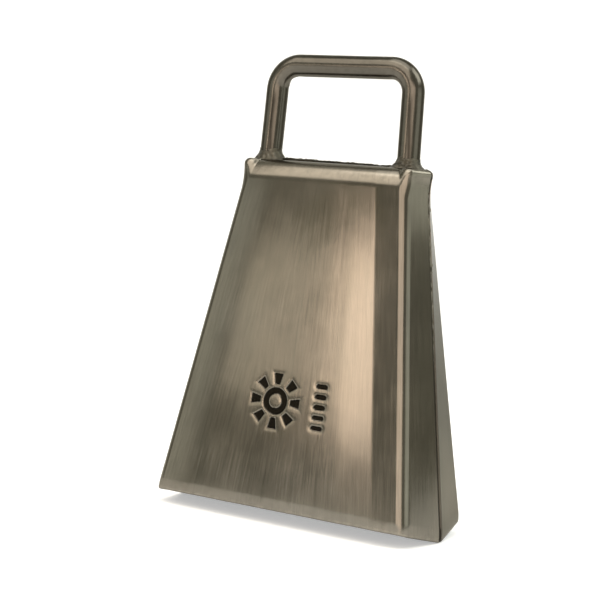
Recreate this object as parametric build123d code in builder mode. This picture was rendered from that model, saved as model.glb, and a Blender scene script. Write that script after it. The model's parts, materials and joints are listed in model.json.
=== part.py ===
from build123d import *
from math import radians, tan
import os

# A hand cowbell with a loose clapper. Millimetres.
# X runs across the wide faces, -Y is the front, +Z is up.
# The origin is under the middle of the bell, level with the lowest tips of its side seams.

os.makedirs("parts", exist_ok=True)

# ---------------------------------------------------------------- driving dimensions
# Bell body: two folded shells of sheet steel that meet on the plane y = 0.
body_height = 127.0  # from the seam tips to the crown
mouth_width, mouth_depth = 107.8, 51.0
crown_width, crown_depth = 71.8, 21.2
sheet = 1.2
mouth_lean, crown_lean = 6.1, 27.0  # degrees each side flange leans inwards, from its seam to its face
upright_bend = 4.3  # outside radius of the bends between the faces and the flanges
# Each face is flat in the middle and turns back along two soft creases beside each bend.
crease_places = (25.6, 11.8)  # distance of each crease from the face's corner
crease_slopes = (0.028, 0.100)  # how steeply the face stands back outside each crease
crease_bend = 25.0
crown_roll = 3.4  # outside radius where the faces and flanges roll over into the crown
lip_rise = 5.0  # height of the faces' lower edges above the seam tips
seam_gap = 1.4  # width of the welded gap between the two shells

# Handle: one bent rod.
rod_diameter = 8.0
handle_foot_span, handle_top_span = 56.0, 54.4  # between the legs' centrelines
handle_top = 161.6  # height of the top bar's centreline
handle_bend = 9.0

# Welds.
bead_width, bead_height = 3.0, 1.5  # bead along the crown, between the handle's feet
bead_half_length = 20.5
foot_weld_width, foot_weld_depth = 15.0, 9.6  # handle weld, where it meets the crown
foot_weld_height = 4.6
foot_weld_skirt = 6.0  # how far the handle weld runs down the crown's corner
crown_weld_drop = 8.0  # the crown's weld turns down the corners by this much

# Stamped mark: a ring in a ring of rays, and a short row of plain bars.
mark_x, mark_z = -5.0, 42.5
mark_depth = 0.5
ring_inner, ring_outer = 2.6, 4.7
ray_inner, ray_outer = 6.0, 9.6
ray_inner_width, ray_outer_width = 1.8, 3.4
ray_count = 8
bar_column_x, bar_length, bar_width = 12.6, 4.4, 1.4
bar_count, bar_pitch = 5, 3.6

# Clapper: a staple inside the crown, a chain link, and a rod with a ball.
staple_wire, staple_span, staple_drop, staple_bend = 3.0, 15.0, 9.0, 3.5
staple_weld_width, staple_weld_height = 5.2, 2.6
link_wire, link_bend, link_straight = 2.5, 4.0, 6.0  # wire size, centreline radius, straight sides
hang_gap = 0.35  # play where one loop hangs in the next
ball_diameter = 18.0
ball_height = 27.0
ball_bore_depth = 13.0

# ---------------------------------------------------------------- values worked out from those
outer_crease_drop = crease_slopes[0] * (crease_places[0] - crease_places[1])
corner_drop = outer_crease_drop + crease_slopes[1] * crease_places[1]
mouth_side_x = mouth_width / 2 - (mouth_depth / 2 - corner_drop) * tan(radians(mouth_lean))
crown_side_x = crown_width / 2 - (crown_depth / 2 - corner_drop) * tan(radians(crown_lean))
crown_underside = body_height - sheet
staple_bar = crown_underside - staple_drop
link_throat = link_bend - link_wire / 2  # inside radius of the link's round ends
link_top_centre = staple_bar - (link_throat - hang_gap - staple_wire / 2)
link_bottom_centre = link_top_centre - link_straight
clapper_pivot = link_bottom_centre - link_bend
eye_radius = link_wire / 2 + hang_gap + link_wire / 2  # centreline radius of the clapper's eye
rod_end = ball_height + ball_diameter / 2 - ball_bore_depth


def at_height(mouth_value, crown_value, z):
    """A body dimension at height z, where it runs straight from the mouth to the crown."""
    return mouth_value + (crown_value - mouth_value) * z / body_height


def body_section(z, inset):
    """Sketch of the bell's closed outline at height z, moved inwards by inset."""
    half_width = at_height(mouth_width, crown_width, z) / 2
    half_depth = at_height(mouth_depth, crown_depth, z) / 2
    side_x = at_height(mouth_side_x, crown_side_x, z)
    quarter = (
        (half_width, 0),
        (side_x, half_depth - corner_drop),
        (side_x - crease_places[1], half_depth - outer_crease_drop),
        (side_x - crease_places[0], half_depth),
    )
    half = quarter + tuple((-x, depth) for x, depth in reversed(quarter))
    with BuildSketch(Plane.XY.offset(z)) as section:
        with BuildLine():
            Polyline(*half)
            Polyline(*[(x, -depth) for x, depth in half])
        make_face()
        between_them = side_x - crease_places[1] / 2  # parts the face's creases from its corners
        off_seam = section.vertices().filter_by(lambda corner: abs(corner.Y) > seam_gap)
        fillet(off_seam.filter_by(lambda corner: abs(corner.X) > between_them), upright_bend)
        fillet(off_seam.filter_by(lambda corner: abs(corner.X) < between_them), crease_bend)
        if inset:
            offset(amount=-inset, kind=Kind.INTERSECTION, mode=Mode.REPLACE)
    return section.sketch


def body_form(bottom, top, inset, roll):
    """Solid bell form between two heights, with its top edge rolled over."""
    with BuildPart() as form:
        add(body_section(bottom, inset))
        add(body_section(top, inset))
        loft(ruled=True)
        fillet(form.edges().group_by(Axis.Z)[-1], roll)
    return form.part


# The outside of the bell, the hollow inside it, and the wedge that its slanted mouth leaves away.
body_outside = body_form(0.0, body_height, 0.0, crown_roll)
body_hollow = body_form(-2.0, crown_underside, sheet, crown_roll - sheet)
with BuildPart() as mouth_cut:
    with BuildSketch(Plane.YZ) as wedge:
        rise = lip_rise * 2
        Polygon(
            (0, 0), (-mouth_depth, rise), (-mouth_depth, -rise), (mouth_depth, -rise), (mouth_depth, rise),
            align=None,
        )
    extrude(amount=mouth_width, both=True)

with BuildPart() as bell_wall:
    add(body_outside)
    add(body_hollow, mode=Mode.SUBTRACT)
    add(mouth_cut.part, mode=Mode.SUBTRACT)

# The front face's own plane at the stamped mark, with its local y running up the face.
face_lean = (mouth_depth - crown_depth) / 2 / body_height  # how far the face leans back for each mm up
mark_y = -at_height(mouth_depth, crown_depth, mark_z) / 2
mark_plane = Plane(origin=(mark_x, mark_y, mark_z), x_dir=(1, 0, 0), z_dir=(0, -1, face_lean))

# ---------------------------------------------------------------- front shell
with BuildPart() as front_shell:
    add(bell_wall.part)
    split(bisect_by=Plane.XZ.offset(seam_gap / 2), keep=Keep.TOP)
    with BuildSketch(mark_plane):
        Circle(ring_outer)
        Circle(ring_inner, mode=Mode.SUBTRACT)
        with PolarLocations(0, ray_count):
            Polygon(
                (ray_inner, -ray_inner_width / 2), (ray_outer, -ray_outer_width / 2),
                (ray_outer, ray_outer_width / 2), (ray_inner, ray_inner_width / 2),
                align=None,
            )
        with Locations((bar_column_x - mark_x, 0)):
            with GridLocations(0, bar_pitch, 1, bar_count):
                SlotOverall(bar_length, bar_width)
    extrude(amount=-mark_depth, mode=Mode.SUBTRACT)
front_shell.part.label = "front_shell"
export_step(front_shell.part, "parts/front_shell.step")

# ---------------------------------------------------------------- rear shell
with BuildPart() as rear_shell:
    add(bell_wall.part)
    split(bisect_by=Plane.XZ.offset(-seam_gap / 2), keep=Keep.BOTTOM)
rear_shell.part.label = "rear_shell"
export_step(rear_shell.part, "parts/rear_shell.step")

# ---------------------------------------------------------------- handle
with BuildPart() as handle:
    with BuildLine(Plane.XZ) as handle_path:
        foot, top = handle_foot_span / 2, handle_top_span / 2
        foot_below = body_height - 1.0
        FilletPolyline(
            (-foot, foot_below), (-top, handle_top), (top, handle_top), (foot, foot_below),
            radius=handle_bend,
        )
    with BuildSketch(Plane(origin=handle_path.line @ 0, z_dir=handle_path.line % 0)):
        Circle(rod_diameter / 2)
    sweep(path=handle_path.line)
    split(bisect_by=Plane.XY.offset(body_height), keep=Keep.TOP)
handle.part.label = "handle"
export_step(handle.part, "parts/handle.step")

# ---------------------------------------------------------------- seam welds
weld_turn = body_height - crown_weld_drop  # height where the crown's weld takes over from the sides'
with BuildPart() as seam_fill:
    add(bell_wall.part)
    Box(mouth_width * 2, seam_gap, body_height * 3, mode=Mode.INTERSECT)

for side, sign in (("left", -1), ("right", 1)):
    with BuildPart() as seam_weld:
        add(seam_fill.part)
        with Locations((sign * mouth_width / 2, 0, 0)):
            Box(
                mouth_width, seam_gap * 2, weld_turn,
                align=(Align.CENTER, Align.CENTER, Align.MIN), mode=Mode.INTERSECT,
            )
    seam_weld.part.label = f"{side}_seam_weld"
    export_step(seam_weld.part, f"parts/{side}_seam_weld.step")

with BuildPart() as crown_weld:
    add(seam_fill.part)
    split(bisect_by=Plane.XY.offset(weld_turn), keep=Keep.TOP)
    with BuildSketch(Plane.YZ.offset(-bead_half_length)):
        with Locations((0, body_height)):
            Ellipse(bead_width / 2, bead_height)
        with Locations((0, body_height - bead_height)):
            Rectangle(bead_width * 2, bead_height * 2, mode=Mode.SUBTRACT)
        Rectangle(bead_width * 2, 2 * body_height, mode=Mode.SUBTRACT)
    extrude(amount=2 * bead_half_length)
crown_weld.part.label = "crown_seam_weld"
export_step(crown_weld.part, "parts/crown_seam_weld.step")

# ---------------------------------------------------------------- handle welds
for side, sign in (("left", -1), ("right", 1)):
    with BuildPart() as handle_weld:
        with BuildSketch(Plane.XY.offset(body_height - foot_weld_skirt)):
            with Locations((sign * handle_foot_span / 2, 0)):
                Ellipse(foot_weld_width / 2, foot_weld_depth / 2)
        with BuildSketch(Plane.XY.offset(body_height + foot_weld_height)):
            with Locations((sign * handle_foot_span / 2, 0)):
                Circle(rod_diameter / 2 + 0.3)
        loft()
        add(body_outside, mode=Mode.SUBTRACT)
        add(handle.part, mode=Mode.SUBTRACT)
    handle_weld.part.label = f"{side}_handle_weld"
    export_step(handle_weld.part, f"parts/{side}_handle_weld.step")

# ---------------------------------------------------------------- clapper staple
with BuildPart() as clapper_staple:
    with BuildLine(Plane.XZ) as staple_path:
        reach = staple_span / 2
        FilletPolyline(
            (-reach, crown_underside), (-reach, staple_bar), (reach, staple_bar), (reach, crown_underside),
            radius=staple_bend,
        )
    with BuildSketch(Plane(origin=staple_path.line @ 0, z_dir=staple_path.line % 0)):
        Circle(staple_wire / 2)
    sweep(path=staple_path.line)
clapper_staple.part.label = "clapper_staple"
export_step(clapper_staple.part, "parts/clapper_staple.step")

for side, sign in (("left", -1), ("right", 1)):
    with BuildPart() as staple_weld:
        with BuildSketch(Plane.XY.offset(crown_underside)):
            with Locations((sign * staple_span / 2, 0)):
                Circle(staple_weld_width / 2)
        with BuildSketch(Plane.XY.offset(crown_underside - staple_weld_height)):
            with Locations((sign * staple_span / 2, 0)):
                Circle(staple_wire / 2 + 0.3)
        loft()
        add(body_hollow, mode=Mode.INTERSECT)
        add(clapper_staple.part, mode=Mode.SUBTRACT)
    staple_weld.part.label = f"{side}_staple_weld"
    export_step(staple_weld.part, f"parts/{side}_staple_weld.step")

# ---------------------------------------------------------------- clapper link
with BuildPart() as clapper_link:
    with BuildLine(Plane.YZ) as link_path:
        start = (link_bend, (link_top_centre + link_bottom_centre) / 2)
        Polyline(start, (link_bend, link_top_centre))
        ThreePointArc(
            (link_bend, link_top_centre), (0, link_top_centre + link_bend), (-link_bend, link_top_centre)
        )
        Line((-link_bend, link_top_centre), (-link_bend, link_bottom_centre))
        ThreePointArc(
            (-link_bend, link_bottom_centre), (0, clapper_pivot), (link_bend, link_bottom_centre)
        )
        Line((link_bend, link_bottom_centre), start)
    with BuildSketch(Plane(origin=link_path.line @ 0, z_dir=link_path.line % 0)):
        Circle(link_wire / 2)
    sweep(path=link_path.line)
clapper_link.part.label = "clapper_link"
export_step(clapper_link.part, "parts/clapper_link.step")

# ---------------------------------------------------------------- clapper rod
with BuildPart() as clapper_rod:
    with BuildSketch(Plane.YZ):
        with Locations((0, clapper_pivot - eye_radius)):
            Circle(link_wire / 2)
    revolve(axis=Axis((0, 0, clapper_pivot), (0, 1, 0)))
    with BuildSketch(Plane.XY.offset(rod_end)):
        Circle(link_wire / 2)
    extrude(amount=clapper_pivot - eye_radius - rod_end)
clapper_rod.part.label = "clapper_rod"
export_step(clapper_rod.part, "parts/clapper_rod.step")

# ---------------------------------------------------------------- clapper ball
with BuildPart() as clapper_ball:
    with Locations((0, 0, ball_height)):
        Sphere(ball_diameter / 2)
    with BuildSketch(Plane.XY.offset(rod_end)):
        Circle(link_wire / 2)
    extrude(amount=ball_diameter, mode=Mode.SUBTRACT)
clapper_ball.part.label = "clapper_ball"
export_step(clapper_ball.part, "parts/clapper_ball.step")
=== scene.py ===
import json
from math import atan2, cos, pi, radians, sin, tan

import bmesh
import bpy
import numpy as np
from mathutils import Matrix, Vector


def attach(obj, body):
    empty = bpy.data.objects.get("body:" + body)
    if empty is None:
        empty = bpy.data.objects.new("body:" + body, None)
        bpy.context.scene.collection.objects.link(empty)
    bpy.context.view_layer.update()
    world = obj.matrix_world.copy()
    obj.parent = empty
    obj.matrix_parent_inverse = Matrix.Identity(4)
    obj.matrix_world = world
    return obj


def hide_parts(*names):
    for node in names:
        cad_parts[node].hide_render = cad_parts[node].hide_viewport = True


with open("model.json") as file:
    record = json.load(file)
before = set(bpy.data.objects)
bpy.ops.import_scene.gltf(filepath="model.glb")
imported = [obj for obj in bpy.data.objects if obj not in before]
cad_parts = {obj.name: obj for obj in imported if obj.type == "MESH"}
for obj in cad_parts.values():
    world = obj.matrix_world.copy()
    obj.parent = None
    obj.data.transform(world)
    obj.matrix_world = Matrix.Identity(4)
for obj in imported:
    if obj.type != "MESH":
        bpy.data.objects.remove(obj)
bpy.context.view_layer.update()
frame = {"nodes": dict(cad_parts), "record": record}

# A hand cowbell. Shapes below are worked out in millimetres and turned into metres by MM as each
# mesh is made. X runs across the wide faces, -Y is the front, +Z is up.
MM = 0.001

# ---------------------------------------------------------------- sizes
# The bell's body, as in the CAD model. Half sizes at the mouth and at the crown.
HEIGHT = 127.0
HALF_WIDTH = (53.9, 35.9)
HALF_DEPTH = (25.5, 10.6)
SHEET = 1.2
FLANGE_LEAN = (radians(6.1), radians(27.0))  # lean of each side flange, from its seam to its face
# Outside radius of the roll into the crown, over the faces and over the flanges. Over the faces it
# is FACE_ROLL_RISE times taller than it is deep. The wall flares outwards just below it.
FACE_ROLL, FLANGE_ROLL = 5.4, 1.7
FACE_ROLL_RISE = 1.3
FLARE, FLARE_HEIGHT = 1.25, 13.0
LIP_RISE = 5.0  # the faces' lower edges stand this far above the seam tips
SEAM_GAP = 1.4
BEND = 4.3  # outside radius of the upright bends
# Each face is flat in the middle and turns back a little along two soft creases that run beside
# its bend: how far from the bend each one is, half its width on the right and on the left, where
# the press left it softer, and the slope it adds.
CREASES = ((22.4, 2.2, 13.0, 0.028), (8.4, 0.6, 7.5, 0.072))
MARGIN = 10.0  # strip of the face beside the bend that gets evenly spaced columns

# The stamped mark: a ring in a ring of rays, and a short row of bars.
MARK_X, MARK_Z, MARK_DEPTH = -5.0, 42.5, 0.5
RING_RADII = (2.6, 4.7)
RAY_RADII, RAY_HALF_WIDTHS, RAY_COUNT = (6.0, 9.6), (0.9, 1.7), 8
BAR_X, BAR_LENGTH, BAR_WIDTH, BAR_COUNT, BAR_PITCH = 12.6, 4.4, 1.4, 5, 3.6

# The handle: one bent rod.
ROD = 4.0
FOOT_X, TOP_X, TOP_Z, ROD_BEND = 28.0, 27.2, 161.6, 9.0


# ---------------------------------------------------------------- small helpers
def blend_in(low, high, value):
    """0 below low, 1 above high, and a smooth step between."""
    t = np.clip((np.asarray(value, float) - low) / (high - low), 0.0, 1.0)
    return t * t * (3 - 2 * t)


def between(pair, z):
    """A body dimension at height z, from its values at the mouth and at the crown."""
    return pair[0] + (pair[1] - pair[0]) * np.asarray(z, float) / HEIGHT


def waves(count, shortest, longest, source):
    """A smooth random field over two lengths in mm, as a function with values of about -1 to 1."""
    lengths = np.exp(source.uniform(np.log(shortest), np.log(longest), count))
    headings = source.uniform(0, 2 * pi, count)
    phases = source.uniform(0, 2 * pi, count)
    sizes = lengths / lengths.max()
    sizes = sizes / np.sqrt((sizes**2).sum() / 2) / 1.6

    def field(a, b):
        total = 0
        for length, heading, phase, size in zip(lengths, headings, phases, sizes):
            along = np.asarray(a) * cos(heading) + np.asarray(b) * sin(heading)
            total = total + size * np.sin(2 * pi * along / length + phase)
        return total

    return field


def make_mesh(name, points, faces, uvs=None, values=None, crease_angle=45.0):
    """A smooth-shaded object from points in mm, with one UV and any named values for each point."""
    mesh = bpy.data.meshes.new(name)
    mesh.from_pydata((np.asarray(points) * MM).tolist(), [], faces)
    for label, numbers in (values or {}).items():
        layer = mesh.attributes.new(label, "FLOAT", "POINT")
        layer.data.foreach_set("value", np.asarray(numbers, np.float32))
    if uvs is not None:
        corners = np.empty(len(mesh.loops), np.int32)
        mesh.loops.foreach_get("vertex_index", corners)
        layer = mesh.uv_layers.new(name="grain")
        layer.data.foreach_set("uv", (np.asarray(uvs) * MM)[corners].astype(np.float32).ravel())
    whole = bmesh.new()
    whole.from_mesh(mesh)
    bmesh.ops.remove_doubles(whole, verts=whole.verts, dist=1e-7)
    bmesh.ops.recalc_face_normals(whole, faces=whole.faces)
    whole.to_mesh(mesh)
    whole.free()
    mesh.shade_smooth()
    mesh.set_sharp_from_angle(angle=radians(crease_angle))
    piece = bpy.data.objects.new(name, mesh)
    bpy.context.scene.collection.objects.link(piece)
    return piece


def grid_faces(rows, columns, first=0, flip=False, wrap=False):
    """Quads over a grid of points that is stored row by row."""
    faces = []
    for r in range(rows - 1):
        for c in range(columns if wrap else columns - 1):
            d = (c + 1) % columns
            quad = (
                first + r * columns + c,
                first + r * columns + d,
                first + (r + 1) * columns + d,
                first + (r + 1) * columns + c,
            )
            faces.append(quad[::-1] if flip else quad)
    return faces


def loft_rings(name, rings, uvs=None, values=None, crease_angle=45.0):
    """A closed body through rings of points, each ring closed, with flat ends."""
    rings = np.asarray(rings)
    count, around = rings.shape[:2]
    faces = grid_faces(count, around, wrap=True)
    faces.append(tuple(range(around))[::-1])
    faces.append(tuple((count - 1) * around + k for k in range(around)))
    flat_uvs = None if uvs is None else np.asarray(uvs).reshape(-1, 2)
    flat_values = {k: np.asarray(v).ravel() for k, v in (values or {}).items()}
    return make_mesh(name, rings.reshape(-1, 3), faces, flat_uvs, flat_values, crease_angle)


def place(piece, node, material):
    """Hands a new piece to the frame: what it stands for, what it rides on and what it is made of."""
    piece.data.materials.append(material)
    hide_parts(node)
    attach(piece, body_of_node[node])
    return piece


body_of_node = {
    node: body
    for body, members in frame["record"]["behaviour"]["bodies"].items()
    for node in members
}


# ---------------------------------------------------------------- materials
class Nodes:
    """Short calls for building a material's node tree."""

    def __init__(self, name):
        self.material = bpy.data.materials.new(name)
        self.material.use_nodes = True
        self.tree = self.material.node_tree
        self.shader = self.tree.nodes["Principled BSDF"]

    def add(self, kind, **settings):
        node = self.tree.nodes.new(kind)
        for key, value in settings.items():
            setattr(node, key, value)
        return node

    def link(self, source, target):
        self.tree.links.new(source, target)

    def value(self, label):
        return self.add("ShaderNodeAttribute", attribute_name=label).outputs["Fac"]

    def noise(self, vector, scale, detail=3.0, stretch=(1, 1, 1), roughness=0.55):
        """A noise texture's value over a vector that is first scaled by stretch."""
        mapping = self.add("ShaderNodeMapping")
        mapping.inputs["Scale"].default_value = stretch
        self.link(vector, mapping.inputs["Vector"])
        texture = self.add("ShaderNodeTexNoise")
        texture.inputs["Scale"].default_value = scale
        texture.inputs["Detail"].default_value = detail
        texture.inputs["Roughness"].default_value = roughness
        self.link(mapping.outputs["Vector"], texture.inputs["Vector"])
        return texture.outputs["Fac"]

    def ramp(self, value, stops, colours=False):
        """A colour ramp. Stops are (place, value) or (place, (r, g, b))."""
        node = self.add("ShaderNodeValToRGB")
        elements = node.color_ramp.elements
        while len(elements) < len(stops):
            elements.new(0.5)
        for element, (where, what) in zip(elements, stops):
            element.position = where
            element.color = (*what, 1.0) if colours else (what, what, what, 1.0)
        self.link(value, node.inputs["Fac"])
        return node.outputs["Color"]

    def math(self, operation, a, b, c=None):
        node = self.add("ShaderNodeMath", operation=operation)
        for socket, source in zip(node.inputs, (a, b, c)):
            if source is None:
                continue
            if isinstance(source, (int, float)):
                socket.default_value = source
            else:
                self.link(source, socket)
        return node.outputs["Value"]

    def mix(self, factor, a, b, mode="MIX"):
        """Mixes two colours, each a socket or an (r, g, b)."""
        node = self.add("ShaderNodeMix", data_type="RGBA", blend_type=mode)
        for socket, source in ((node.inputs[0], factor), (node.inputs[6], a), (node.inputs[7], b)):
            if isinstance(source, tuple):
                socket.default_value = (*source, 1.0)
            elif isinstance(source, (int, float)):
                socket.default_value = source
            else:
                self.link(source, socket)
        return node.outputs[2]

    def bump(self, height, distance, strength=1.0, normal=None):
        node = self.add("ShaderNodeBump")
        node.inputs["Distance"].default_value = distance
        node.inputs["Strength"].default_value = strength
        self.link(height, node.inputs["Height"])
        if normal is not None:
            self.link(normal, node.inputs["Normal"])
        return node.outputs["Normal"]


# Colours of the dark plating: three shades of patina, metal rubbed bright (also the colour of painted
# highlights), and the stamped hollows' dark patina (also the colour of painted shade in the seam groove and
# of a painted dark reflection on the handle).
PATINA_OLIVE = (0.112, 0.106, 0.084)
PATINA_BROWN = (0.142, 0.126, 0.102)
PATINA_GREY = (0.130, 0.124, 0.108)
RUBBED_AND_SHEEN = (0.280, 0.255, 0.215)
DARK_PATINA_AND_SHADE = (0.009, 0.008, 0.006)


def plated_steel(name, grain_scale, streak_depth=0.000006, base_roughness=0.11, depth=1.0):
    """Dark antique plating over steel that was brushed along the UV's second direction."""
    n = Nodes(name)
    grain = n.add("ShaderNodeUVMap", uv_map="grain").outputs["UV"]
    place_in_space = n.add("ShaderNodeTexCoord").outputs["Object"]
    hairs = n.noise(grain, grain_scale * 11, 2.0, (1, 0.012, 1), 0.65)
    strokes = n.noise(grain, grain_scale * 4.5, 2.0, (1, 0.012, 1), 0.6)
    bands = n.noise(grain, grain_scale * 0.30, 2.0, (1, 0.12, 1))
    clouds = n.noise(place_in_space, 38.0, 3.0)
    patches = n.noise(place_in_space, 14.0, 2.0)
    wear_and_sheen, patina_and_painted_dark = n.value("wear_and_sheen"), n.value("patina_and_painted_dark")

    colour = n.mix(n.ramp(bands, ((0.25, 0.2), (0.75, 0.8))), PATINA_OLIVE, PATINA_BROWN)
    colour = n.mix(n.ramp(patches, ((0.42, 0.0), (0.62, 0.6))), colour, PATINA_GREY)
    brushed = n.math("MULTIPLY_ADD", n.ramp(strokes, ((0.34, 0.0), (0.66, 1.0))), 0.50,
                     n.math("MULTIPLY", n.ramp(hairs, ((0.36, 0.0), (0.64, 1.0))), 0.50))
    colour = n.mix(n.math("MULTIPLY", brushed, 0.80), colour, n.mix(0.5, colour, RUBBED_AND_SHEEN))
    dull = n.ramp(clouds, ((0.35, 0.86 * depth), (0.65, 1.06 * depth)))
    colour = n.mix(1.0, colour, dull, "MULTIPLY")
    # The plating is lightened towards rubbed metal both where it is really rubbed and where highlights are
    # painted on. It is darkened both for the patina in the stamped hollows and for painted shade and a
    # painted dark reflection.
    mottle = n.ramp(n.noise(place_in_space, 420.0, 3.0), ((0.30, 0.35), (0.62, 1.0)))
    rubbed_and_sheen_mask = n.math("MULTIPLY", wear_and_sheen, mottle)
    colour = n.mix(rubbed_and_sheen_mask, colour, RUBBED_AND_SHEEN)
    colour = n.mix(patina_and_painted_dark, colour, DARK_PATINA_AND_SHADE)
    # Inside, the plating was never brushed: it is dull and scatters more light.
    unbrushed = n.value("unbrushed")
    dusty = n.mix(n.ramp(clouds, ((0.35, 0.0), (0.65, 1.0))), (0.135, 0.125, 0.100), (0.190, 0.175, 0.145))
    n.link(n.mix(unbrushed, colour, dusty), n.shader.inputs["Base Color"])
    n.link(n.math("MULTIPLY_ADD", unbrushed, -0.65, 1.0), n.shader.inputs["Metallic"])

    rough = n.math("MULTIPLY_ADD", brushed, 0.05, base_roughness)
    rough = n.math("MULTIPLY_ADD", n.ramp(clouds, ((0.3, 0.0), (0.7, 1.0))), 0.05, rough)
    rough = n.math("MULTIPLY_ADD", patina_and_painted_dark, 0.12, rough)
    rough = n.math("MULTIPLY_ADD", wear_and_sheen, 0.22, rough)
    rough = n.math("MULTIPLY_ADD", unbrushed, 0.36, rough)
    n.link(rough, n.shader.inputs["Roughness"])
    n.shader.inputs["Anisotropic"].default_value = 0.2
    n.shader.inputs["Specular Tint"].default_value = (0.55, 0.55, 0.53, 1.0)
    tangent = n.add("ShaderNodeTangent", direction_type="UV_MAP", uv_map="grain")
    n.link(tangent.outputs["Tangent"], n.shader.inputs["Tangent"])
    fine = n.bump(hairs, streak_depth * 0.35)
    n.link(n.bump(strokes, streak_depth * 0.55, 1.0, fine), n.shader.inputs["Normal"])
    return n.material


def weld_metal(name, dark=(0.030, 0.028, 0.022), light=(0.150, 0.140, 0.110)):
    """Rough weld metal and spatter under the same dark plating."""
    n = Nodes(name)
    where = n.add("ShaderNodeTexCoord").outputs["Object"]
    ripples = n.noise(where, 900.0, 4.0, roughness=0.7)
    lumps = n.noise(where, 260.0, 3.0)
    wear_and_sheen, patina_and_painted_dark = n.value("wear_and_sheen"), n.value("patina_and_painted_dark")
    colour = n.mix(n.ramp(lumps, ((0.36, 0.0), (0.66, 1.0))), dark, light)
    colour = n.mix(n.ramp(ripples, ((0.45, 0.0), (0.70, 0.5))), colour, (0.085, 0.070, 0.040))
    colour = n.mix(wear_and_sheen, colour, (0.24, 0.225, 0.19))
    # Darkened for the weld's own dark patina, and with painted shade where a bead sinks into the seam
    # groove.
    colour = n.mix(patina_and_painted_dark, colour, (0.012, 0.011, 0.009))
    n.link(colour, n.shader.inputs["Base Color"])
    n.shader.inputs["Metallic"].default_value = 0.9
    rough = n.math("MULTIPLY_ADD", ripples, 0.35, 0.26)
    rough = n.math("MULTIPLY_ADD", patina_and_painted_dark, 0.25, rough)
    n.link(rough, n.shader.inputs["Roughness"])
    n.link(n.bump(ripples, 0.00012), n.shader.inputs["Normal"])
    return n.material


def bare_steel(name, colour_low, colour_high, roughness, scale):
    """Dulled steel wire or turned steel, for the clapper."""
    n = Nodes(name)
    where = n.add("ShaderNodeTexCoord").outputs["Object"]
    clouds = n.noise(where, scale, 4.0)
    drawn = n.noise(where, scale * 6, 2.0, (1, 1, 0.06))
    colour = n.mix(n.ramp(clouds, ((0.35, 0.0), (0.68, 1.0))), colour_low, colour_high)
    colour = n.mix(n.ramp(drawn, ((0.40, 0.0), (0.66, 0.5))), colour, (0.09, 0.08, 0.065))
    n.link(colour, n.shader.inputs["Base Color"])
    n.shader.inputs["Metallic"].default_value = 1.0
    n.link(n.math("MULTIPLY_ADD", clouds, 0.30, roughness - 0.1), n.shader.inputs["Roughness"])
    n.link(n.bump(drawn, 0.00003), n.shader.inputs["Normal"])
    return n.material


bell_plate = plated_steel("bell_plate_brushed", 620.0)
handle_plate = plated_steel("handle_plate_brushed", 900.0, base_roughness=0.13, depth=0.50)
weld = weld_metal("weld_bead")
clapper_wire = bare_steel("clapper_wire_drawn", (0.22, 0.21, 0.19), (0.38, 0.37, 0.34), 0.36, 220.0)
clapper_steel = bare_steel("clapper_steel_turned", (0.30, 0.29, 0.27), (0.48, 0.46, 0.43), 0.30, 160.0)


# ---------------------------------------------------------------- the bell's section
def face_drop(distance, on_left=False):
    """How far the face stands back at a distance from its bend, and its slope there."""
    drop, slope = 0.0, 0.0
    for where, width_right, width_left, gain in CREASES:
        half_width = np.where(on_left, width_left, width_right)
        past = np.maximum(where - distance, -half_width)
        soft = (past + half_width) ** 2 / (4 * half_width)
        drop = drop + gain * np.where(past < half_width, soft, past)
        slope = slope + gain * np.clip((past + half_width) / (2 * half_width), 0, 1)
    return drop, slope


def section_at(end):
    """Break points of one half's outline at the mouth (0) or the crown (1): its half sizes, the
    flange's lean, the face's turn where the bend starts, and the bend's centre."""
    half_width, half_depth, lean = HALF_WIDTH[end], HALF_DEPTH[end], FLANGE_LEAN[end]
    drop, slope = face_drop(0.0)
    turn = atan2(float(slope), 1)
    tangent = BEND * tan((pi / 2 - lean - turn) / 2)
    edge_depth = half_depth - float(drop)
    corner_depth = edge_depth - tangent * sin(turn)
    edge_x = half_width - corner_depth * tan(lean) - tangent * cos(turn)
    return half_width, half_depth, lean, turn, edge_x - BEND * sin(turn), edge_depth - BEND * cos(turn)


def section_point(part, s, z, inset):
    """A point on one half's outline at height z: x, and how far it stands from the seam plane.
    part says which stretch each column is on (0 face, 1 its margin, 2 bend, 3 flange), and s runs
    over that stretch from the middle of the face to the seam. inset moves it into the sheet."""
    across = np.abs(s)
    stretches = [part <= 1, part == 2, part == 3]
    ends = []
    for end in (0, 1):
        half_width, half_depth, lean, turn, centre_x, centre_depth = section_at(end)
        edge_x = centre_x + BEND * sin(turn)
        face_x = np.where(part == 0, across * (edge_x - MARGIN), edge_x - MARGIN * (1 - across))
        drop, slope = face_drop(edge_x - face_x, s < 0)
        face_turn = np.arctan(slope)
        bend_turn = turn + (pi / 2 - lean - turn) * across
        foot_x, foot_depth = centre_x + BEND * cos(lean), centre_depth + BEND * sin(lean)
        seam_x, seam_depth = half_width - SEAM_GAP / 2 * tan(lean), SEAM_GAP / 2
        flange = [foot_x + (seam_x - foot_x) * across, foot_depth + (seam_depth - foot_depth) * across]
        inward = [cos(lean) + (1 / cos(lean) - cos(lean)) * across, sin(lean) * (1 - across)]
        ends.append((
            np.select(stretches, [face_x, centre_x + BEND * np.sin(bend_turn), flange[0]]),
            np.select(stretches, [half_depth - drop, centre_depth + BEND * np.cos(bend_turn), flange[1]]),
            np.select(stretches, [np.sin(face_turn), np.sin(bend_turn), inward[0]]),
            np.select(stretches, [np.cos(face_turn), np.cos(bend_turn), inward[1]]),
        ))
    x, depth, inward_x, inward_depth = (between(pair, z) for pair in zip(*ends))
    return np.sign(s) * (x - inset * inward_x), depth - inset * inward_depth


def spread(*stretches):
    """Sample places that join stretches of (start, end, count)."""
    pieces = [np.linspace(a, b, count, endpoint=False) for a, b, count in stretches]
    return np.append(np.concatenate(pieces), stretches[-1][1])


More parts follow.
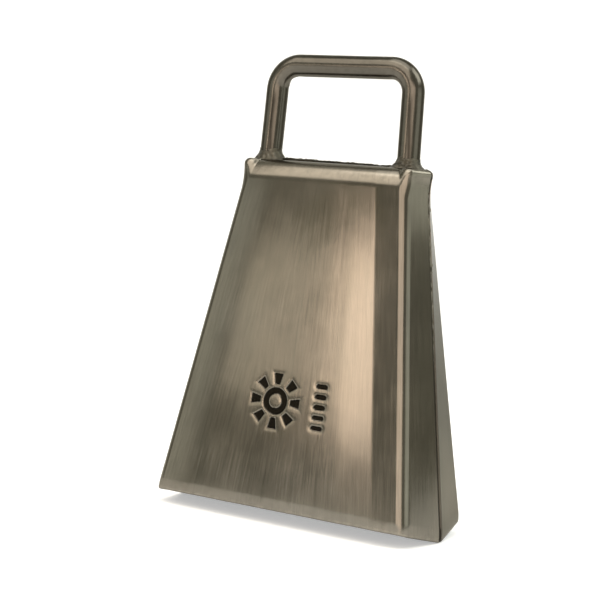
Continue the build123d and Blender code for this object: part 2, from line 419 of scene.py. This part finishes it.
def shell_columns(fine):
    """Which stretch of the outline each column is on, and where on it, from seam to seam."""
    if fine:
        right_face = spread((0.0, 0.56, 86), (0.56, 1.0, 20))
        left_face = spread((0.0, 0.56, 84), (0.56, 1.0, 20))
    else:
        right_face = left_face = spread((0.0, 1.0, 36))
    margin = spread((0.0, 0.12, 4), (0.12, 0.34, 14), (0.34, 1.0, 10))[1:]
    bend = spread((0.0, 1.0, 24))[1:]
    flange = spread((0.0, 0.86, 14), (0.86, 0.97, 5), (0.97, 1.0, 5))[1:]
    halves = []
    for face in (left_face, right_face):
        stretches = (face[1:], margin, bend, flange)
        halves.append([(k, s) for k, places in enumerate(stretches) for s in places])
    columns = [(k, -s) for k, s in reversed(halves[0])] + [(0, 1e-9)] + halves[1]
    return np.array([c[0] for c in columns]), np.array([c[1] for c in columns])


def mark_distance(x, up):
    """Signed distance in mm to the stamped mark's outline, negative inside it."""
    dx, dz = x - MARK_X, up
    radius = np.hypot(dx, dz)
    ring = np.maximum(RING_RADII[0] - radius, radius - RING_RADII[1])
    step = 2 * pi / RAY_COUNT
    turn = (np.arctan2(dz, dx) + step / 2) % step - step / 2
    along, aside = radius * np.cos(turn), np.abs(radius * np.sin(turn))
    t = np.clip((along - RAY_RADII[0]) / (RAY_RADII[1] - RAY_RADII[0]), 0, 1)
    half_width = RAY_HALF_WIDTHS[0] + (RAY_HALF_WIDTHS[1] - RAY_HALF_WIDTHS[0]) * t
    ray = np.maximum.reduce([aside - half_width, RAY_RADII[0] - along, along - RAY_RADII[1]])
    bars = np.full_like(radius, 99.0)
    for k in range(BAR_COUNT):
        offset = (k - (BAR_COUNT - 1) / 2) * BAR_PITCH
        run = np.maximum(np.abs(x - BAR_X) - (BAR_LENGTH - BAR_WIDTH) / 2, 0)
        bars = np.minimum(bars, np.hypot(run, up - offset) - BAR_WIDTH / 2)
    return np.minimum.reduce([ring, ray, bars])


LIP_ROUND = SHEET / 2
CROWN_ROWS = 3
LIP_TURNS = np.linspace(0, pi, 7)[1:-1]
ROLL_TURNS = np.linspace(0, pi / 2, 11)[1:]
# Rows up the wall, as (from, to, count) in parts of its height. A stamped half has many more rows
# over the height of the mark.
STAMPED_ROWS = ((0.0, 0.035, 10), (0.035, 0.20, 12), (0.20, 0.445, 118), (0.445, 0.88, 30), (0.88, 1.0, 20))
PLAIN_ROWS = ((0.0, 0.035, 10), (0.035, 0.88, 56), (0.88, 1.0, 20))
# How uneven the sheet is: long dents, short ripples, the lip's curl and its burr.
DENT_SIZE, RIPPLE_SIZE = 0.013, 0.002
CURL_SIZE, CURL_CHANGE, CURL_HEIGHT = 0.30, 0.12, 4.0
BURR_SIZE, BURR_HEIGHT = 0.05, 0.5
# The mark's wall is this soft outside and inside the sheet, and the metal beside it is pulled in.
STAMP_SOFTNESS, STAMP_SOFTNESS_INSIDE, STAMP_INSIDE = 0.20, 0.8, 0.8
PULL_DEPTH, PULL_REACH = 0.05, 0.8
NO_MARK_BELOW = 8  # the mark is looked for only above this height over the lip
SEAM_ROUND = 0.22  # how far the seam's edge is rounded over
FLARE_ON_FACE, FLARE_TO_FLANGE = 0.02, 1.18  # parts of FLARE on the face, and added on the flange


class ShellHalf:
    """One pressed half of the bell, as a closed sheet of real thickness. side is -1 in front."""

    def __init__(self, side, stamped, source):
        self.side, self.stamped = side, stamped
        self.part, self.s = shell_columns(stamped)
        self.columns = len(self.part)
        self.wall = spread(*(STAMPED_ROWS if stamped else PLAIN_ROWS))
        self.dent = waves(9, 22, 60, source)
        self.ripple = waves(8, 5, 12, source)
        self.rim = waves(10, 2.5, 14, source)
        self.to_flange = np.select([self.part <= 1, self.part == 2], [0.0, np.abs(self.s)], 1.0)
        self.edge = np.where(self.part == 3, np.abs(self.s), 0)
        self.outer, self.above_lip, self.distance = self.skin(0.0)
        self.inner, _, _ = self.skin(SHEET)
        self.rows = len(self.outer)
        self.lip = self.lip_rows()

    def levels(self, thickness):
        """Heights of one skin's points, how far the roll takes them in, the lip and the roll's start."""
        part, s, columns = self.part, self.s, self.columns
        _, lip_depth = section_point(part, s, np.full(columns, LIP_RISE / 2), np.zeros(columns))
        lip = LIP_RISE * lip_depth / HALF_DEPTH[0] + LIP_ROUND
        roll_outside = FACE_ROLL + (FLANGE_ROLL - FACE_ROLL) * blend_in(0, 1, self.to_flange)
        roll = np.maximum(roll_outside - thickness, 0.4)
        rise = roll * (1 + (FACE_ROLL_RISE - 1) * (1 - self.to_flange))
        roll_start = HEIGHT - thickness - rise
        z_wall = lip + (roll_start - lip) * self.wall[:, None]
        z_roll = roll_start + rise * np.sin(ROLL_TURNS)[:, None]
        inset = np.vstack([np.zeros_like(z_wall), roll * (1 - np.cos(ROLL_TURNS))[:, None]])
        return np.vstack([z_wall, z_roll]), inset, lip, roll_start

    def flare(self, z):
        """How far the wall flares out just below the crown."""
        height = FLARE_HEIGHT * (0.5 + 0.5 * self.to_flange)
        flare = np.clip((z - HEIGHT + height) / (height - 2), 0, 1) ** 2
        return flare * FLARE * (FLARE_ON_FACE + FLARE_TO_FLANGE * self.to_flange)

    def unevenness(self, x, z, above_lip, roll_start):
        """How far dents push the wall out, and how far the lip's curl and burr take it in."""
        on_wall = blend_in(0, 8, roll_start - z)
        out = on_wall * (DENT_SIZE * self.dent(x, z) + RIPPLE_SIZE * self.ripple(x, z))
        curl = CURL_SIZE + CURL_CHANGE * self.rim(x, 0 * z)
        curl = curl * np.clip(1 - above_lip / CURL_HEIGHT, 0, 1) ** 2
        burr = BURR_SIZE * self.rim(x + 40, 0 * z) * np.exp(-above_lip / BURR_HEIGHT)
        return out, curl, burr

    def stamp(self, distance, above_lip, thickness):
        """How far the stamped mark takes the sheet in."""
        softness = STAMP_SOFTNESS if thickness == 0 else STAMP_SOFTNESS_INSIDE
        pressed = 1 - blend_in(-softness, softness * 0.6, distance)
        pulled = PULL_DEPTH * np.exp(-(np.maximum(distance, 0) / PULL_REACH) ** 2)
        on_mark = (self.part == 0)[None, :] * (above_lip > NO_MARK_BELOW)
        return on_mark * (MARK_DEPTH * (1.0 if thickness == 0 else STAMP_INSIDE) * pressed + pulled)

    def skin(self, thickness):
        """One skin's points, row by row from the lip to the seam plane on the crown. Also how far
        its points are above the lip, and their distance to the mark."""
        part, s = self.part, self.s
        z, inset, lip, roll_start = self.levels(thickness)
        inset = inset + thickness - self.flare(z)
        x, _ = section_point(part, s, z, inset)
        above_lip = z - lip
        out, curl, burr = self.unevenness(x, z, above_lip, roll_start)
        inset = inset - out
        inset = inset + curl + burr
        lean_back = np.cos(np.arctan((HALF_DEPTH[0] - HALF_DEPTH[1]) / HEIGHT))
        distance = mark_distance(x, (z - MARK_Z) / lean_back)
        if self.stamped:
            inset = inset + self.stamp(distance, above_lip, thickness)
        inset = inset + (SEAM_ROUND * blend_in(0.985, 1.0, self.edge) ** 2 if thickness == 0 else 0)
        x, depth = section_point(part, s, z, inset)
        points = np.stack([x, self.side * depth, z], -1)
        return np.concatenate([points, self.flat_crown(points[-1])]), above_lip, distance

    def flat_crown(self, last_row):
        """Rows that run level from the roll's end to the crown's seam."""
        flat = []
        for k in range(1, CROWN_ROWS + 1):
            row = last_row.copy()
            keep = 1 - k / CROWN_ROWS
            row[:, 1] = self.side * (SEAM_GAP / 2 + (np.abs(row[:, 1]) - SEAM_GAP / 2) * keep)
            flat.append(row)
        return np.stack(flat)

    def lip_rows(self):
        """The rounded lip that joins the two skins."""
        across = (self.outer[0] - self.inner[0]) / 2
        middle = (self.outer[0] + self.inner[0]) / 2
        down = self.outer[0] - self.outer[1]
        down = down / np.linalg.norm(down, axis=1)[:, None] * LIP_ROUND
        return np.stack([middle + across * cos(a) + down * sin(a) for a in LIP_TURNS])

    def faces(self):
        rows, columns, side = self.rows, self.columns, self.side
        first_inner, first_lip = rows * columns, 2 * rows * columns
        faces = grid_faces(rows, columns, flip=side > 0)
        faces += grid_faces(rows, columns, first_inner, flip=side < 0)
        chain = [0] + [first_lip + k * columns for k in range(len(LIP_TURNS))] + [first_inner]
        for a, b in zip(chain, chain[1:]):
            for c in range(columns - 1):
                faces.append((a + c, b + c, b + c + 1, a + c + 1))
        last = (rows - 1) * columns
        for c in range(columns - 1):
            faces.append((last + c, last + c + 1, first_inner + last + c + 1, first_inner + last + c))
        for c in (0, columns - 1):
            for r in range(rows - 1):
                below, above = r * columns + c, (r + 1) * columns + c
                faces.append((below, above, first_inner + above, first_inner + below))
            faces.append(tuple(start + c for start in chain))
        return faces

    def outer_wear_and_sheen(self):
        """Where the plating outside is rubbed bright, where highlights are painted on, and where it is
        darkened: patina in the mark's hollows and painted shade beside the seam groove.
        """
        z, edge, above_lip = self.outer[:, :, 2], self.edge, self.above_lip
        body = len(above_lip)
        wear_and_sheen = np.zeros((self.rows, self.columns))
        patina_and_painted_dark = np.zeros((self.rows, self.columns))
        wear_and_sheen[:body] = 0.55 * np.exp(-above_lip / 0.7) + 0.22 * np.exp(-above_lip / 4.0)
        # The roll into the crown is lightened: partly rubbed plating, partly a painted highlight.
        on_roll = blend_in(HEIGHT - FACE_ROLL * FACE_ROLL_RISE, HEIGHT - 4, z)
        wear_and_sheen += 0.34 * on_roll * (1 - 0.5 * blend_in(0.9, 1.0, edge))
        # Painted highlight along the seam edge of the rear half, and faintly along the front half's.
        wear_and_sheen += 0.45 * blend_in(0.965, 1.0, edge) * (1.0 if self.side > 0 else 0.15)
        if self.stamped:
            # A painted highlight round the mark's outline.
            mark_rim_highlight = np.exp(-((self.distance - 0.30) / 0.20) ** 2)
            wear_and_sheen[:body] += 0.22 * mark_rim_highlight * (above_lip > NO_MARK_BELOW)
            inside_mark = 1 - blend_in(-0.05, 0.18, self.distance)
            patina_and_painted_dark[:body] = inside_mark * (above_lip > NO_MARK_BELOW)
        # Painted shade beside the seam groove, stronger lower down and on the front half.
        painted_groove_shade = blend_in(110, 70, z) * (1.0 if self.side < 0 else 0.6)
        return wear_and_sheen, np.maximum(patina_and_painted_dark, 0.9 * painted_groove_shade * blend_in(0.955, 0.975, edge))

    def values(self):
        """What the plating's material reads at each point: outside, then inside, then the lip."""
        skin_size, lip_size = self.rows * self.columns, self.lip[..., 0].size
        wear_and_sheen, patina_and_painted_dark = self.outer_wear_and_sheen()
        return {
            "wear_and_sheen": np.concatenate([wear_and_sheen.ravel(), np.full(skin_size, 0.06), np.full(lip_size, 0.45)]),
            "patina_and_painted_dark": np.concatenate([patina_and_painted_dark.ravel(), np.zeros(skin_size), np.full(lip_size, 0.1)]),
            "unbrushed": np.concatenate([np.zeros(skin_size), np.ones(skin_size), np.zeros(lip_size)]),
        }

    def grain(self):
        """Where each point is on the sheet: how far round the outline, and its height."""
        z = self.outer[:, :, 2]
        middle_row = self.outer[self.rows // 2]
        steps = np.linalg.norm(np.diff(middle_row, axis=0), axis=1)
        round_outline = np.concatenate([[0], np.cumsum(steps)])
        skins = [np.stack([np.broadcast_to(round_outline, z.shape), z], -1).reshape(-1, 2)] * 2
        on_lip = np.stack([np.broadcast_to(round_outline, self.lip.shape[:2]), self.lip[..., 2]], -1)
        return np.concatenate(skins + [on_lip.reshape(-1, 2)])

    def mesh(self, name):
        points = np.concatenate([self.outer, self.inner, self.lip]).reshape(-1, 3)
        return make_mesh(name, points, self.faces(), self.grain(), self.values())


front_half = ShellHalf(-1, True, np.random.default_rng(11))
rear_half = ShellHalf(1, False, np.random.default_rng(23))
place(front_half.mesh("front_shell_pressed"), "front_shell", bell_plate)
place(rear_half.mesh("rear_shell_pressed"), "rear_shell", bell_plate)


# ---------------------------------------------------------------- seam welds
def seam_line(column):
    """The outer edge line of the seam at one column, from the tip to the crown, in the plane y = 0."""
    line = front_half.outer[:, column].copy()
    line[:, 1] = 0
    return line


def resample(line, step):
    """The line's points, evenly spaced by about step, and the distance along it."""
    gaps = np.linalg.norm(np.diff(line, axis=0), axis=1)
    keep = np.concatenate([[True], gaps > 1e-6])
    line = line[keep]
    along = np.concatenate([[0], np.cumsum(np.linalg.norm(np.diff(line, axis=0), axis=1))])
    places = np.linspace(0, along[-1], max(int(along[-1] / step), 2) + 1)
    return np.stack([np.interp(places, along, line[:, k]) for k in range(3)], -1), places


BEAD_STEP, BEAD_REACH = 0.30, 1.15  # spacing along a bead, and how deep it goes into the gap


def bead(name, line, level, half_width, source, lump, dark=0.0):
    """A weld bead along a line in the plane y = 0, lying in the gap between the two halves. level
    and half_width give the height of its top over the line and half its width at points of the line,
    and lump gives how uneven it is at one point."""
    path, along = resample(line, BEAD_STEP)
    tangent = np.gradient(path, axis=0)
    tangent /= np.linalg.norm(tangent, axis=1)[:, None]
    outward = np.stack([tangent[:, 2], 0 * tangent[:, 0], -tangent[:, 0]], -1)
    centre = np.array([0.0, 0.0, 60.0])
    away = np.sign(((path - centre) * outward).sum(1))
    outward = outward * away[:, None]
    across = np.linspace(-1, 1, 11)
    fine, coarse = waves(12, 0.9, 3.5, source), waves(8, 3, 12, source)
    rings, wear_and_sheen, patina_and_painted_dark = [], [], []
    height, width = level(path), half_width(path)
    for k, p in enumerate(path):
        top = []
        for a in across:
            crown = (1 - a * a) * 0.5
            lumps = crown + 0.55 * fine(along[k], a * 2) + 0.45 * coarse(along[k], a)
            lift = height[k] + lumps * lump(p)
            top.append(p + outward[k] * lift + np.array([0, 1, 0]) * a * width[k])
        low = []
        for a in (0.95, 0.0, -0.95):
            low.append(p - outward[k] * BEAD_REACH + np.array([0, 1, 0]) * a * SEAM_GAP / 2)
        rings.append(top + low)
        # Painted shade: the bead's top is darkened the deeper it sinks into the groove, and its rubbed
        # spots fade there. Its hidden underside in the gap is darkened too.
        deep = np.clip(-height[k] / 0.7, 0, 1)
        rub = [0.55 * np.clip(0.5 + fine(along[k], a * 2), 0, 1) * (1 - deep) for a in across]
        wear_and_sheen.append(rub + [0] * 3)
        patina_and_painted_dark.append([np.clip(dark + deep, 0, 1)] * len(across) + [0.4] * 3)
    uvs = np.zeros((len(rings), len(rings[0]), 2))
    return loft_rings(name, rings, uvs, {"wear_and_sheen": wear_and_sheen, "patina_and_painted_dark": patina_and_painted_dark}, 60.0)


WELD_TURN = 8.0  # the crown's weld takes over this far below the crown
weld_start = HEIGHT - WELD_TURN


def side_level(path):
    """The side welds stand a little proud near the crown and sink into a groove lower down, where painted
    shade darkens them.
    """
    return -0.75 + 0.80 * blend_in(20, 95, path[:, 2])


for side_name, column, seed in (("left", 0, 31), ("right", -1, 37)):
    source = np.random.default_rng(seed)
    outer_line = seam_line(column)
    lower = outer_line[outer_line[:, 2] <= weld_start + 3]
    tip = np.array([[lower[0, 0] + 0.02, 0, 0.25]])
    line = np.vstack([tip, lower])
    line = line[line[:, 2] <= weld_start]
    piece = bead(
        f"{side_name}_seam_bead", line, side_level,
        lambda path: np.full(len(path), SEAM_GAP / 2 + 0.06), source,
        lambda p: 0.12 + 0.22 * blend_in(30, 80, p[2]),
    )
    place(piece, f"{side_name}_seam_weld", weld)


def crown_level(path):
    """The crown's weld is a proud bead between the handle's feet, thicker on the left."""
    x = path[:, 0]
    on_top = blend_in(26, 21, np.abs(x))
    return 0.05 + on_top * (0.75 - 0.008 * x)


left_line, right_line = seam_line(0), seam_line(-1)
left_top = left_line[left_line[:, 2] > weld_start]
right_top = right_line[right_line[:, 2] > weld_start]
crown_line = np.vstack([left_top, right_top[::-1]])
crown_bead = bead(
    "crown_seam_bead", crown_line, crown_level,
    lambda path: 0.8 + 0.62 * blend_in(26, 21, np.abs(path[:, 0])), np.random.default_rng(41),
    lambda p: 0.12 + 0.14 * blend_in(26, 21, abs(p[0])) * (1.1 - 0.012 * p[0]), dark=0.55,
)
place(crown_bead, "crown_seam_weld", weld)


# ---------------------------------------------------------------- handle
def handle_line(step):
    """Centreline of the handle from foot to foot, with its round bends."""
    corners = [Vector((-FOOT_X, 0, HEIGHT)), Vector((-TOP_X, 0, TOP_Z)), Vector((TOP_X, 0, TOP_Z)),
               Vector((FOOT_X, 0, HEIGHT))]
    line = [np.array(corners[0])]
    for before, corner, after in zip(corners, corners[1:], corners[2:]):
        a, b = (before - corner).normalized(), (after - corner).normalized()
        half = a.angle(b) / 2
        reach = ROD_BEND / tan(half)
        centre = corner + (a + b).normalized() * (ROD_BEND / sin(half))
        start, end = corner + a * reach - centre, corner + b * reach - centre
        turn = start.angle(end)
        for t in np.linspace(0, 1, 33):
            angle = turn * t
            part_start, part_end = sin(turn - angle) / sin(turn), sin(angle) / sin(turn)
            line.append(np.array(centre + start * part_start + end * part_end))
    line.append(np.array(corners[-1]))
    return resample(np.array(line), step)


def make_handle():
    """The rod, slightly flattened where it was bent and creased inside its left bend."""
    path, along = handle_line(0.5)
    tangent = np.gradient(path, axis=0)
    tangent /= np.linalg.norm(tangent, axis=1)[:, None]
    inward = np.stack([-tangent[:, 2], 0 * tangent[:, 0], tangent[:, 0]], -1)
    inward = inward * -np.sign((inward * (path - np.array([0, 0, HEIGHT]))).sum(1))[:, None]
    around, count = 72, len(path)
    angles = np.linspace(0, 2 * pi, around, endpoint=False)
    corner = np.minimum(np.linalg.norm(path - [-TOP_X + 3, 0, TOP_Z - 3], axis=1),
                        np.linalg.norm(path - [TOP_X - 3, 0, TOP_Z - 3], axis=1))
    bent = blend_in(9, 2, corner)
    left = blend_in(4.5, 0.5, np.linalg.norm(path - [-TOP_X + 2.6, 0, TOP_Z - 2.6], axis=1))
    dings = waves(10, 6, 25, np.random.default_rng(53))
    streaks = waves(6, 12, 40, np.random.default_rng(59))
    rings, wear_and_sheen, patina_and_painted_dark = [], [], []
    for k in range(count):
        ring, rub, dark_reflection = [], [], []
        # A painted dark reflection runs along each leg's front and fades out on the bar.
        streak_at = radians(-66 - 48 * k / count)
        on_leg = blend_in(TOP_Z - 8, TOP_Z - 14, path[k][2])
        for a in angles:
            inner_side = np.maximum(cos(a), 0)
            r = ROD - 0.02 - 0.12 * bent[k] * inner_side**2 + 0.015 * dings(along[k], a * ROD)
            r -= 0.50 * left[k] * np.exp(-((a - 0.5) / 0.40) ** 2)
            r = min(r, ROD)
            offset = inward[k] * cos(a) * r + np.array([0, 1, 0]) * sin(a) * r
            ring.append(path[k] + offset)
            rub.append(0.10 + 0.10 * bent[k] + 0.25 * left[k] * np.exp(-((a - 0.1) / 0.3) ** 2))
            off_streak = (a - streak_at + pi) % (2 * pi) - pi - 0.05 * streaks(along[k], 0)
            dark_reflection.append(0.75 * on_leg * np.exp(-((off_streak / 0.16) ** 2)))
        rings.append(ring)
        wear_and_sheen.append(rub)
        patina_and_painted_dark.append(dark_reflection)
    uvs = np.stack(np.broadcast_arrays(angles[None, :] * ROD, along[:, None]), -1)
    return loft_rings("handle_rod", rings, uvs, {"wear_and_sheen": wear_and_sheen, "patina_and_painted_dark": patina_and_painted_dark})


place(make_handle(), "handle", handle_plate)


# ---------------------------------------------------------------- handle welds
def crown_surface(x, y):
    """Height of the bell's outside under a point near the crown."""
    slack_x = np.maximum(np.abs(x) + np.abs(y) * tan(FLANGE_LEAN[1]) - (HALF_WIDTH[1] - FLANGE_ROLL), 0)
    slack_y = np.maximum(np.abs(y) - (HALF_DEPTH[1] - FACE_ROLL), 0)
    drop_x = FLANGE_ROLL - np.sqrt(np.maximum(FLANGE_ROLL**2 - np.minimum(slack_x, FLANGE_ROLL) ** 2, 0))
    drop_y = FACE_ROLL - np.sqrt(np.maximum(FACE_ROLL**2 - np.minimum(slack_y, FACE_ROLL) ** 2, 0))
    drop_y = drop_y * FACE_ROLL_RISE
    return HEIGHT - drop_x - drop_y


def foot_weld(side, source):
    """A lumpy fillet round one foot of the handle, running out on the crown."""
    around, steps = 72, 16
    angles = np.linspace(0, 2 * pi, around, endpoint=False)
    coarse, fine = waves(8, 3, 9, source), waves(12, 0.9, 2.6, source)
    toward_middle = -side
    rings, wear_and_sheen, patina_and_painted_dark = [], [], []
    for k in range(steps):
        t = k / (steps - 1)  # 0 on the crown, 1 at the top of the fillet
        ring, rub, weld_darkening = [], [], []
        for a in angles:
            inner = max(cos(a) * toward_middle, 0)
            outer = max(-cos(a) * toward_middle, 0)
            reach = 0.85 + 2.9 * inner**1.5 + 2.5 * outer**2 + 0.30 * coarse(a * 4.5, 3)
            top = 3.3 + 1.0 * inner + 0.6 * coarse(a * 4.5, 20)
            profile = (1 - t) ** 2.1
            bump = 0.30 * fine(a * 5.5, t * 5 + 9) * (1 - abs(2 * t - 0.9)) * (0.5 + 0.5 * profile)
            r = ROD + 0.04 + reach * profile + max(bump, -0.25)
            x = side * FOOT_X + cos(a) * r
            y = sin(a) * r
            base = crown_surface(x, y) - 0.35
            z = base + (HEIGHT + top - base) * t**1.15
            ring.append((x, y, z))
            rub.append(np.clip(0.25 * (0.3 + fine(a * 5.5, t * 5 + 9)), 0, 0.5))
            # Darker all over, and darker still in the bottom rows where the fillet meets the crown.
            weld_darkening.append(0.30 if t > 0.1 else 0.6)
        rings.append(ring)
        wear_and_sheen.append(rub)
        patina_and_painted_dark.append(weld_darkening)
    uvs = np.zeros((steps, around, 2))
    name = "left" if side < 0 else "right"
    return loft_rings(f"{name}_foot_fillet", rings, uvs, {"wear_and_sheen": wear_and_sheen, "patina_and_painted_dark": patina_and_painted_dark}, 60.0)


place(foot_weld(-1, np.random.default_rng(61)), "left_handle_weld", weld)
place(foot_weld(1, np.random.default_rng(67)), "right_handle_weld", weld)

# ------------------------------------------------------- clapper and its staple, from the CAD model
for node, material in (
    ("clapper_staple", clapper_wire),
    ("clapper_link", clapper_wire),
    ("clapper_rod", clapper_wire),
    ("clapper_ball", clapper_steel),
    ("left_staple_weld", weld),
    ("right_staple_weld", weld),
):
    thing = frame["nodes"][node]
    thing.data.materials.clear()
    thing.data.materials.append(material)


# ---------------------------------------------------------------- studio
def plain_surface(name, colour, glow):
    n = Nodes(name)
    where = n.add("ShaderNodeTexCoord").outputs["Object"]
    tint = n.ramp(n.noise(where, 3.0), ((0.3, 0.985), (0.7, 1.0)))
    n.link(n.mix(1.0, colour, tint, "MULTIPLY"), n.shader.inputs["Base Color"])
    n.shader.inputs["Roughness"].default_value = 0.9
    n.shader.inputs["Specular IOR Level"].default_value = 0.1
    n.shader.inputs["Emission Color"].default_value = (0.97, 0.985, 1.0, 1.0)
    n.shader.inputs["Emission Strength"].default_value = glow
    return n.material


def backdrop():
    """A pale sweep: flat floor that curves up behind the bell."""
    profile = [(-1.6, 0.0), (1.2, 0.0)]
    for t in np.linspace(0, pi / 2, 13)[1:]:
        profile.append((1.2 + 0.6 * sin(t), 0.6 * (1 - cos(t))))
    profile.append((1.8, 2.6))
    points, faces = [], []
    for y, z in profile:
        points += [(-2.6, y, z), (2.6, y, z)]
    turn = Matrix.Rotation(radians(30), 4, "Z")
    points = [tuple(turn @ Vector(p)) for p in points]
    for k in range(len(profile) - 1):
        faces.append((2 * k, 2 * k + 1, 2 * k + 3, 2 * k + 2))
    mesh = bpy.data.meshes.new("sweep")
    mesh.from_pydata(points, [], faces)
    mesh.shade_smooth()
    mesh.materials.append(plain_surface("sweep_paper", (0.80, 0.80, 0.80), 0.40))
    sweep = bpy.data.objects.new("sweep", mesh)
    bpy.context.scene.collection.objects.link(sweep)


backdrop()

AIM = Vector((0.0, 0.0, 0.075))


def softbox(name, azimuth, elevation, distance, width, height, power, colour, roll=0.0):
    """A rectangular soft light. Azimuth is from -Y towards +X, in degrees."""
    a, e = radians(azimuth), radians(elevation)
    spot = AIM + distance * Vector((sin(a) * cos(e), -cos(a) * cos(e), sin(e)))
    light = bpy.data.lights.new(name, "AREA")
    light.shape = "RECTANGLE"
    light.size, light.size_y = width, height
    light.energy = power
    light.color = colour
    lamp = bpy.data.objects.new(name, light)
    facing = (spot - AIM).to_track_quat("Z", "Y").to_matrix().to_4x4()
    lamp.matrix_world = Matrix.Translation(spot) @ facing @ Matrix.Rotation(radians(roll), 4, "Z")
    bpy.context.scene.collection.objects.link(lamp)
    return lamp


softbox("key_strip", -23.0, 7.2, 1.5, 0.165, 0.24, 0.78, (1.0, 0.82, 0.70), roll=-4)
softbox("key_tip", -21.3, 13.0, 1.5, 0.12, 0.14, 0.26, (1.0, 0.82, 0.70), roll=-35)
softbox("key_glow", -33.0, 8.0, 1.5, 0.26, 0.20, 0.26, (1.0, 0.92, 0.80))
softbox("left_fill", -52.0, 6.0, 1.5, 0.60, 0.50, 0.7, (0.98, 1.0, 0.93))
softbox("near_strip", 20, 9, 1.5, 1.35, 0.90, 9.0, (1.0, 0.84, 0.74))
softbox("side_fill", 95, 11, 1.5, 1.1, 0.60, 2.0, (0.95, 1.0, 0.93))
softbox("front_top", -20, 49, 1.5, 1.6, 1.20, 14.5, (1.0, 0.91, 0.82))
softbox("right_top", 110, 50, 1.5, 1.0, 0.9, 9.0, (0.97, 1.0, 0.95))
softbox("overhead", -10, 80, 1.3, 1.0, 0.9, 5.5, (1.0, 0.98, 0.95))

world = bpy.data.worlds.new("studio")
world.use_nodes = True
world.node_tree.nodes["Background"].inputs["Color"].default_value = (0.50, 0.49, 0.40, 1.0)
world.node_tree.nodes["Background"].inputs["Strength"].default_value = 0.86
bpy.context.scene.world = world
bpy.context.scene.view_settings.view_transform = "Standard"
bpy.context.scene.view_settings.look = "None"


# ---------------------------------------------------------------- camera
CAMERA_TURN = (radians(29.724), radians(2.854), radians(5.098))  # yaw, pitch and roll
CAMERA_HEIGHT, CAMERA_DISTANCE = 0.080, 0.5406  # it looks at the middle line at this height
CAMERA_SHIFT = (0.00914, 0.00158)  # how far it stands to the left and down of that line of sight
CAMERA_LENS, CAMERA_SENSOR = 90.689, 36.0


def make_camera():
    """Right of the front, slightly above, and rolled a little."""
    yaw, pitch, roll = CAMERA_TURN
    back = Vector((sin(yaw) * cos(pitch), -cos(yaw) * cos(pitch), sin(pitch)))
    right = Vector((cos(yaw), sin(yaw), 0))
    up = back.cross(right)
    across = cos(roll) * right + sin(roll) * up
    upward = -sin(roll) * right + cos(roll) * up
    look_at = Vector((0, 0, CAMERA_HEIGHT))
    spot = look_at - across * CAMERA_SHIFT[0] - upward * CAMERA_SHIFT[1] + back * CAMERA_DISTANCE
    data = bpy.data.cameras.new("camera")
    data.lens, data.sensor_width = CAMERA_LENS, CAMERA_SENSOR
    data.clip_start, data.clip_end = 0.01, 20
    camera = bpy.data.objects.new("camera", data)
    camera.matrix_world = Matrix.Translation(spot) @ Matrix((across, upward, back)).transposed().to_4x4()
    bpy.context.scene.collection.objects.link(camera)
    bpy.context.scene.camera = camera


make_camera()
